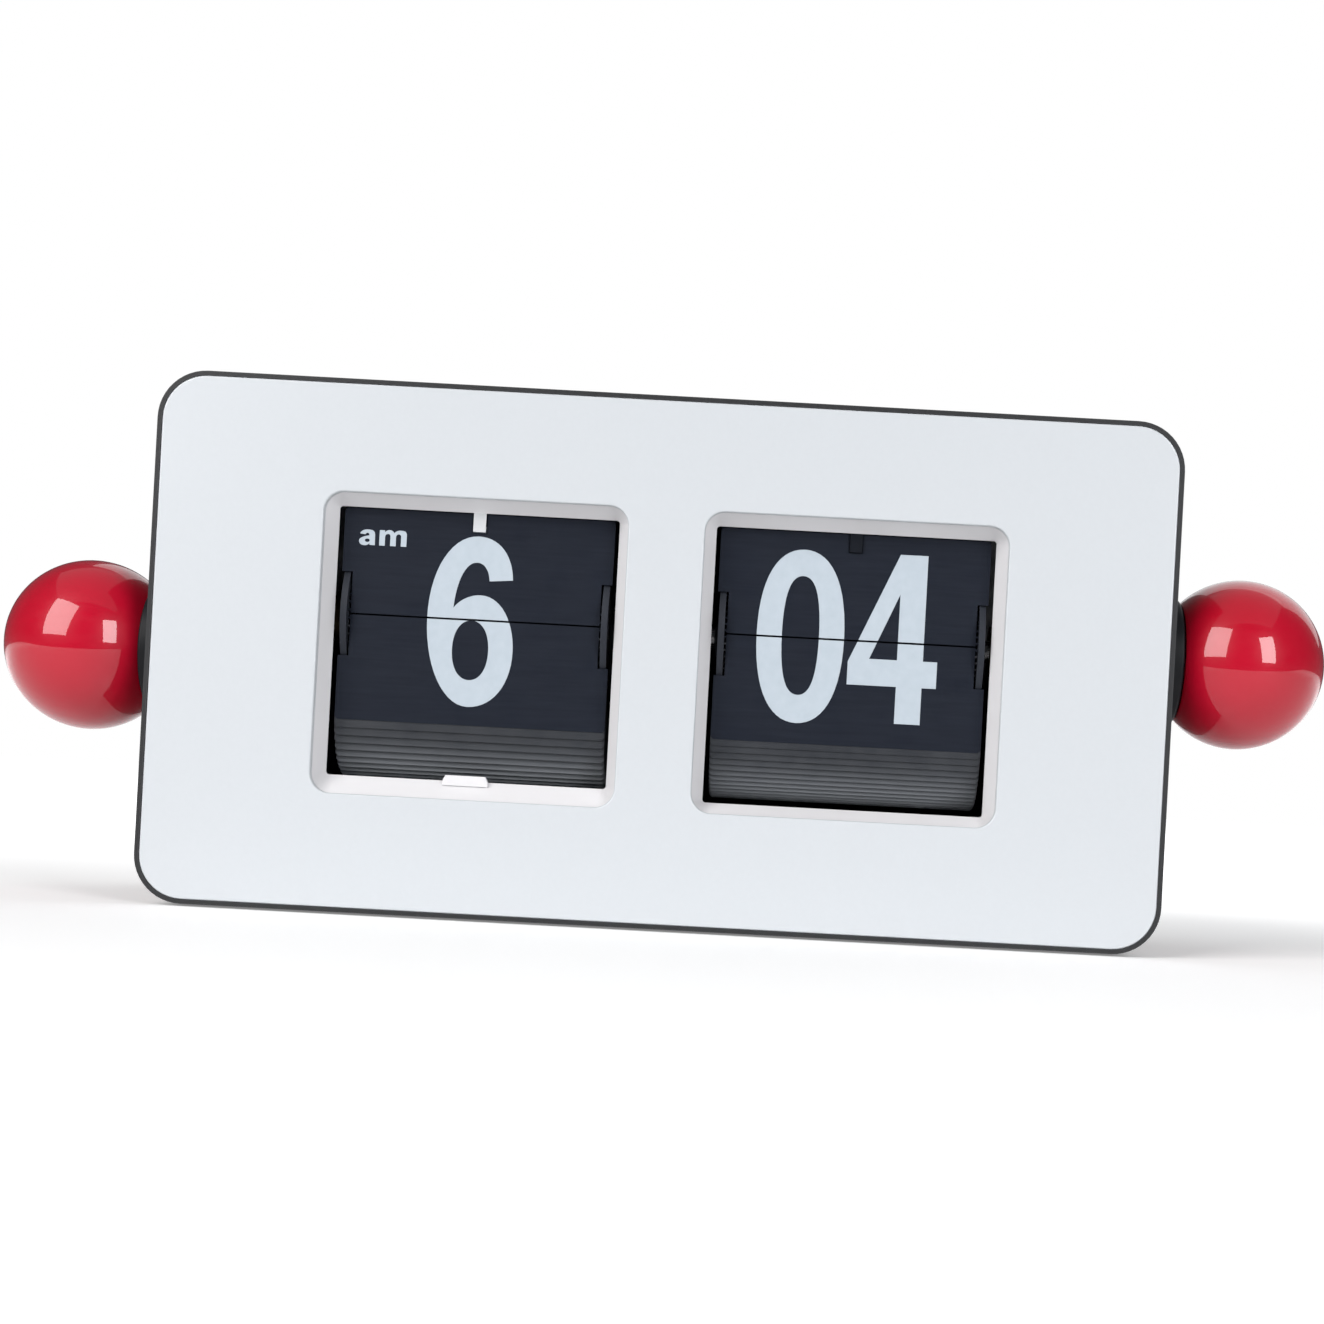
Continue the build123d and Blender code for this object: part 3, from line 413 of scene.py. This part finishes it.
def oval(centre, half_width, half_height, roundness=0.56, straightness=0.66):
    """A condensed oval: four round points with longer upright handles."""
    x, z = centre
    across = half_width * roundness
    up = half_height * straightness
    return [
        (x, z + half_height, (-across, 0), (across, 0)),
        (x + half_width, z, (0, up), (0, -up)),
        (x, z - half_height, (across, 0), (-across, 0)),
        (x - half_width, z, (0, -up), (0, up)),
    ]


def moved(outlines, right, up=0.0):
    """The outlines, moved in their plane."""
    return [[(point[0] + right, point[1] + up, *point[2:]) for point in outline] for outline in outlines]


def glyph_0(shift=0.0):
    """Two ovals."""
    return [oval((shift, 0.25), 7.77, 15.4, 0.58, 0.68), oval((shift, 0.4), 3.3, 10.55, 0.62, 0.74)]


def glyph_4(shift=0.0):
    """Straight strokes with a closed triangle."""
    outer = [
        (-0.45, 15.66), (4.46, 15.66), (4.46, -3.07), (7.0, -3.07), (7.0, -7.8), (4.46, -7.8),
        (4.46, -14.35), (-0.1, -14.35), (-0.1, -7.8), (-8.86, -7.8), (-8.86, -3.7),
    ]
    inner = [(-0.15, 8.6), (-0.15, -3.07), (-5.1, -3.07)]
    return moved([outer, inner], shift)


def glyph_5(shift=0.0):
    """A flag, a short stem and an open bowl."""
    outline = [
        (-6.3, 15.4), (6.9, 15.4), (6.9, 10.3), (-2.3, 10.3), (-2.9, 3.6),
        (1.0, 4.8, (-1.5, -0.1), (4.4, 0)),
        (8.0, -5.2, (0, 5.4), (0, -6.2)),
        (-0.2, -15.7, (4.7, 0), (-4.7, 0)),
        (-7.9, -7.9, (-0.3, -4.8), (0, 0)),
        (-2.8, -7.3, (0, 0), (0.2, -2.4)),
        (-0.1, -10.7, (-1.7, 0), (1.9, 0)),
        (2.8, -5.4, (0, -3.0), (0, 3.2)),
        (0.0, -0.1, (1.8, 0), (-1.5, 0)),
        (-2.7, -1.9, (0.9, 1.3), (0, 0)),
        (-7.5, -1.0, (0, 0), (0, 0)),
    ]
    return moved([outline], shift)


def glyph_6():
    """An open arc that runs into a closed bowl."""
    outer = [
        (-0.1, 14.85, (-4.6, 0), (3.9, 0)),
        (6.35, 7.35, (-0.2, 4.3), (0, 0)),
        (2.2, 7.0, (0, 0), (-0.1, 1.8)),
        (-0.15, 10.2, (1.4, 0), (-2.3, 0)),
        (-3.95, 2.0, (0.25, 3.9), (0.9, 1.3)),
        (0.75, 4.45, (-2.0, 0), (3.8, 0)),
        (6.95, -5.3, (0, 5.2), (0, -5.9)),
        (-0.6, -15.45, (4.4, 0), (-4.4, 0)),
        (-8.5, 0.0, (0, -8.6), (0, 8.9)),
    ]
    counter = oval((-0.6, -5.4), 3.22, 5.3, 0.58, 0.62)
    return [outer, counter]


def glyph_7(shift=0.0):
    """A bar and a curved leg."""
    outline = [
        (-7.7, 15.3), (7.8, 15.3), (7.8, 11.2, (0, 0), (-2.6, -4.0)),
        (2.9, -15.5, (0.4, 9.5), (0, 0)),
        (-2.7, -15.5, (0, 0), (0.3, 8.8)),
        (2.2, 10.0, (-2.4, -4.4), (0, 0)), (-7.7, 10.0),
    ]
    return moved([outline], shift)


def glyph_a(shift, base, height):
    """Small bold a: stem, top arc and bowl."""
    h = height
    outline = [
        (-1.32, h * 0.72, (0, 0), (0.15, h * 0.18)),
        (0.10, h, (-0.75, 0), (0.85, 0)),
        (1.33, h * 0.68, (0, h * 0.22), (0, 0)),
        (1.38, 0.0), (0.45, 0.0), (0.40, h * 0.12, (0, 0), (-0.2, -h * 0.1)),
        (-0.45, -0.08, (0.4, 0), (-0.6, 0)),
        (-1.46, h * 0.27, (0, -h * 0.2), (0, h * 0.22)),
        (0.36, h * 0.62, (-0.4, -0.02), (0, 0)),
        (0.05, h * 0.78, (0.25, 0), (-0.3, 0)),
        (-0.38, h * 0.68, (0.1, 0.12), (0, 0)),
    ]
    bowl = oval((0.0, h * 0.30), 0.42, h * 0.11)
    return moved([outline, bowl], shift, base)


def glyph_m(shift, base, height):
    """Small bold m: three stems under two arches."""
    h = height
    arch = h * 0.30
    outline = [
        (-2.42, h), (-1.50, h), (-1.46, h * 0.88, (0, 0), (0.25, h * 0.1)),
        (-0.70, h * 1.03, (-0.3, 0), (0.4, 0)),
        (0.18, h * 0.84, (-0.15, h * 0.12), (0.25, h * 0.12)),
        (1.30, h * 1.03, (-0.5, 0), (0.7, 0)),
        (2.42, h * 0.70, (0, arch), (0, 0)),
        (2.42, 0.0), (1.42, 0.0), (1.42, h * 0.62, (0, 0), (0, 0.25)),
        (1.00, h * 0.78, (0.25, 0), (-0.28, 0)),
        (0.52, h * 0.58, (0, 0.3), (0, 0)),
        (0.52, 0.0), (-0.48, 0.0), (-0.48, h * 0.62, (0, 0), (0, 0.25)),
        (-0.90, h * 0.78, (0.25, 0), (-0.28, 0)),
        (-1.42, h * 0.58, (0, 0.3), (0, 0)),
        (-1.42, 0.0), (-2.42, 0.0),
    ]
    return moved([outline], shift, base)


# Places and sizes in millimetres, from the middle of the window and the split line.
A_MIDDLE = -19.85
M_MIDDLE = -15.3
AM_BASE = 12.3
AM_HEIGHT = 2.75
TENS_MIDDLE = -9.02
FOUR_MIDDLE = 8.47
FIVE_MIDDLE = 8.0
SEVEN_MIDDLE = -0.2
AM = glyph_a(A_MIDDLE, AM_BASE, AM_HEIGHT) + glyph_m(M_MIDDLE, AM_BASE, AM_HEIGHT)
NUMERAL = {"hour": glyph_6(), "minute": glyph_0(TENS_MIDDLE) + glyph_4(FOUR_MIDDLE)}
# The next hour leaf reads 7, so that the flip changes the hour.
NEXT_NUMERAL = {"hour": glyph_7(SEVEN_MIDDLE), "minute": glyph_0(TENS_MIDDLE) + glyph_5(FIVE_MIDDLE)}
# What is printed above the split line only.
ABOVE_ONLY = {"hour": AM, "minute": []}

# Thickness of the ink, its distance from the split line and half the leaf's thickness, in mm.
PRINT_THICKNESS = 0.008
SPLIT_EDGE = 0.17
LEAF_HALF = 0.05
INK_LIFT = LEAF_HALF + PRINT_THICKNESS / 2
CURVE_STEPS = 14
INK = print_white()
HINGE_RADIUS = (HINGE["hour"] - Vector((HINGE["hour"].x, AXIS.y, AXIS.z))).length


def flat_outline(points):
    """The outline's points with its curves worked out, as a list of (x, z)."""
    flat = []
    for here, there in zip(points, points[1:] + points[:1]):
        out = here[3] if len(here) > 2 else (0, 0)
        back = there[2] if len(there) > 2 else (0, 0)
        start = Vector(here[:2])
        end = Vector(there[:2])
        first = start + Vector(out)
        second = end + Vector(back)
        if out == (0, 0) and back == (0, 0):
            flat.append(tuple(start))
            continue
        for step in range(CURVE_STEPS):
            t = step / CURVE_STEPS
            u = 1 - t
            flat.append(tuple(start * u**3 + first * 3 * u * u * t + second * 3 * u * t * t + end * t**3))
    return flat


def ink_plate(name, outlines):
    """The outlines as one flat plate of ink in the XY plane, in millimetres."""
    curve = bpy.data.curves.new(name, "CURVE")
    curve.dimensions = "2D"
    curve.fill_mode = "BOTH"
    curve.extrude = PRINT_THICKNESS / 2
    for outline in outlines:
        flat = flat_outline(outline)
        spline = curve.splines.new("POLY")
        spline.points.add(len(flat) - 1)
        for point, (x, z) in zip(spline.points, flat):
            point.co = (x, z, 0, 1)
        spline.use_cyclic_u = True
    holder = bpy.data.objects.new(name, curve)
    bpy.context.scene.collection.objects.link(holder)
    mesh = bpy.data.meshes.new_from_object(holder.evaluated_get(bpy.context.evaluated_depsgraph_get()))
    bpy.data.objects.remove(holder)
    return mesh


def print_half(name, outlines, upper):
    """One half of a numeral as a thin plate in the XZ plane, cut at the split line, in metres."""
    mesh = ink_plate(name, outlines)
    work = bmesh.new()
    work.from_mesh(mesh)
    bmesh.ops.remove_doubles(work, verts=work.verts, dist=1e-4)
    side = 1 if upper else -1
    cut = bmesh.ops.bisect_plane(
        work,
        geom=work.verts[:] + work.edges[:] + work.faces[:],
        plane_co=(0, side * SPLIT_EDGE, 0),
        plane_no=(0, side, 0),
        clear_inner=True,
    )
    rim = [item for item in cut["geom_cut"] if isinstance(item, bmesh.types.BMEdge)]
    bmesh.ops.edgeloop_fill(work, edges=rim)
    bmesh.ops.triangulate(work, faces=work.faces)
    bmesh.ops.recalc_face_normals(work, faces=work.faces)
    turn = Matrix.Rotation(math.radians(90), 4, "X")
    work.transform(Matrix.Scale(MM, 4) @ turn)
    work.to_mesh(mesh)
    work.free()
    return mesh


def add_print(name, outlines, upper, body, place):
    """Prints the upper or lower half of a numeral. place takes it from its own plane to the leaf."""
    mesh = print_half(name, outlines, upper)
    mesh.transform(place)
    mesh.materials.append(INK)
    piece = bpy.data.objects.new(name, mesh)
    bpy.context.scene.collection.objects.link(piece)
    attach(piece, body)


def swing_about(hinge, angle):
    """A turn about a hinge that runs along X."""
    turn = Matrix.Rotation(angle, 4, "X")
    return Matrix.Translation(hinge) @ turn @ Matrix.Translation(-hinge)


def front_leaf_plane(drum):
    """From a numeral's own plane to the front of the two leaves that show."""
    hinge = HINGE[drum]
    return Matrix.Translation((hinge.x, hinge.y - INK_LIFT * MM, AXIS.z))


def flip_leaf_back_plane(drum):
    """To the back of the flip leaf, so placed that it reads right once the leaf has fallen."""
    hinge = HINGE[drum]
    raised = Matrix.Translation((0, 0, 2 * (hinge.z - AXIS.z)))
    return swing_about(hinge, math.radians(180)) @ raised @ front_leaf_plane(drum)


def next_leaf_plane(drum):
    """To the front of the next leaf, hinged one step further round the drum and leaning back."""
    hinge = HINGE[drum]
    step = 2 * math.asin((hinge.z - AXIS.z) / HINGE_RADIUS)
    next_y = AXIS.y - HINGE_RADIUS * math.cos(1.5 * step)
    next_z = AXIS.z + HINGE_RADIUS * math.sin(1.5 * step)
    leaf_high = Vector(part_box(f"{drum}_next_leaf")[1])
    lean = math.atan2(leaf_high.y - LEAF_HALF * MM - next_y, leaf_high.z - next_z)
    upright = Matrix.Translation((hinge.x, next_y - INK_LIFT * MM, AXIS.z + next_z - hinge.z))
    return swing_about(Vector((hinge.x, next_y, next_z)), -lean) @ upright


for drum in HINGE:
    now = NUMERAL[drum]
    following = NEXT_NUMERAL[drum]
    added = ABOVE_ONLY[drum]
    flipping = f"{drum}_leaf"
    add_print(f"{drum}_numeral_upper", now + added, True, flipping, front_leaf_plane(drum))
    add_print(f"{drum}_numeral_lower", now, False, "clock", front_leaf_plane(drum))
    add_print(f"{drum}_next_upper", following + added, True, "clock", next_leaf_plane(drum))
    add_print(f"{drum}_next_lower", following, False, flipping, flip_leaf_back_plane(drum))


# ---------------------------------------------------------------- floor, lights, world, camera

# The table ends just in front of what the camera sees.
TABLE_FRONT = -0.33
TABLE_SIZE = (9.0, 4.0)
PAPER = (0.86, 0.86, 0.86)
NEAR_GLOW = 0.22
FAR_GLOW = 1.0


def paper():
    """Pale studio paper that glows a little, more so behind and beside the clock, to stay white."""
    s = Shader("floor_paper", roughness=0.75, specular=0.1)
    darker = [channel * 0.985 for channel in PAPER]
    s.colour(s.ramp(s.noise(3.0, 2.0), [(0.3, darker), (0.7, PAPER)]))
    s.surface.inputs["Emission Color"].default_value = (1, 1, 1, 1)
    split = s.node("ShaderNodeSeparateXYZ")
    s.link(s.node("ShaderNodeNewGeometry").outputs["Position"], split.inputs["Vector"])
    aside = s.node("ShaderNodeMath", operation="ABSOLUTE")
    s.link(split.outputs["X"], aside.inputs[0])
    glow = s.node("ShaderNodeMath", operation="MAXIMUM")
    s.link(s.remap(split.outputs["Y"], NEAR_GLOW, FAR_GLOW, start=0.0, end=0.35), glow.inputs[0])
    s.link(s.remap(aside.outputs["Value"], NEAR_GLOW, FAR_GLOW, start=0.45, end=1.0), glow.inputs[1])
    s.link(glow.outputs["Value"], s.surface.inputs["Emission Strength"])
    return s.done()


def floor():
    """The table top, a plain sheet that belongs to the stage."""
    bpy.ops.mesh.primitive_plane_add(size=1)
    plane = bpy.context.object
    plane.name = "floor"
    plane.scale = (*TABLE_SIZE, 1)
    plane.location = (0, TABLE_FRONT + TABLE_SIZE[1] / 2, 0)
    plane.data.materials.append(paper())


floor()


def soft_light(name, azimuth, elevation, distance, size, radiance, tint=(1, 1, 1)):
    """A rectangular light aimed at the clock.

    Azimuth and elevation are in degrees, azimuth to the right of straight ahead of the clock.
    Distance and size are in metres.
    """
    aside = math.radians(azimuth)
    above = math.radians(elevation)
    level = math.cos(above)
    direction = Vector((math.sin(aside) * level, -math.cos(aside) * level, math.sin(above)))
    lamp = bpy.data.lights.new(name, "AREA")
    lamp.shape = "RECTANGLE"
    lamp.size, lamp.size_y = size
    lamp.energy = radiance * math.pi * size[0] * size[1]
    lamp.color = tint
    holder = bpy.data.objects.new(name, lamp)
    holder.location = CASE_MIDDLE + direction * distance
    holder.rotation_euler = (-direction).to_track_quat("-Z", "Y").to_euler()
    bpy.context.scene.collection.objects.link(holder)


WARM = (1.0, 0.99, 0.98)
COOL = (0.98, 0.99, 1.0)
soft_light("window_left", -38, 28, distance=1.2, size=(0.70, 0.90), radiance=6.6, tint=WARM)
soft_light("window_right", 34, 17.5, distance=1.2, size=(0.38, 0.66), radiance=9.5, tint=COOL)
soft_light("ceiling", 0, 89, distance=2.2, size=(3.4, 3.0), radiance=0.28)
soft_light("rear_fill", 160, 35, distance=2.0, size=(2.4, 1.6), radiance=0.9)


def studio_world(seen, cast):
    """A white room to look at, but a dim one for light, so that gloss reflects the soft lights."""
    world = bpy.data.worlds.new("studio")
    world.use_nodes = True
    tree = world.node_tree
    dim = tree.nodes["Background"]
    dim.inputs["Color"].default_value = (0.80, 0.86, 0.95, 1)
    dim.inputs["Strength"].default_value = cast
    white = tree.nodes.new("ShaderNodeBackground")
    white.inputs["Color"].default_value = (1, 1, 1, 1)
    white.inputs["Strength"].default_value = seen
    choose = tree.nodes.new("ShaderNodeMixShader")
    tree.links.new(tree.nodes.new("ShaderNodeLightPath").outputs["Is Camera Ray"], choose.inputs[0])
    tree.links.new(dim.outputs[0], choose.inputs[1])
    tree.links.new(white.outputs[0], choose.inputs[2])
    tree.links.new(choose.outputs[0], tree.nodes["World Output"].inputs["Surface"])
    bpy.context.scene.world = world


studio_world(seen=1.0, cast=0.09)
# The default view transform turns the red of the balls into pink.
bpy.context.scene.view_settings.view_transform = "Standard"

# The camera faces the clock squarely, from a little right of its middle and below it, and is
# rolled so that the clock's right end hangs lower. The shift brings the clock near the middle
# of the picture: MIDDLE_OFFSET is where its middle comes, right and up, in pixels.
CAMERA_DISTANCE = 0.380
CAMERA_RIGHT = 0.0227
CAMERA_BELOW = 0.0201
CAMERA_ROLL = math.radians(3.1)
IMAGE_WIDTH = 1324
PIXELS_PER_METRE = 5717
MIDDLE_OFFSET = (-2.5, -0.4)
SENSOR = 36.0

camera_data = bpy.data.cameras.new("camera")
camera_data.sensor_width = SENSOR
camera_data.lens = SENSOR * PIXELS_PER_METRE * CAMERA_DISTANCE / IMAGE_WIDTH
camera_data.clip_start = 0.01
camera = bpy.data.objects.new("camera", camera_data)
camera.location = (CAMERA_RIGHT, FASCIA_FRONT - CAMERA_DISTANCE, CASE_MIDDLE.z - CAMERA_BELOW)
upright = Matrix.Rotation(math.radians(90), 3, "X")
camera.rotation_euler = (upright @ Matrix.Rotation(CAMERA_ROLL, 3, "Z")).to_euler()
across = -CAMERA_RIGHT * math.cos(CAMERA_ROLL) + CAMERA_BELOW * math.sin(CAMERA_ROLL)
up = CAMERA_RIGHT * math.sin(CAMERA_ROLL) + CAMERA_BELOW * math.cos(CAMERA_ROLL)
camera_data.shift_x = (across * PIXELS_PER_METRE - MIDDLE_OFFSET[0]) / IMAGE_WIDTH
camera_data.shift_y = (up * PIXELS_PER_METRE - MIDDLE_OFFSET[1]) / IMAGE_WIDTH
bpy.context.scene.collection.objects.link(camera)
bpy.context.scene.camera = camera
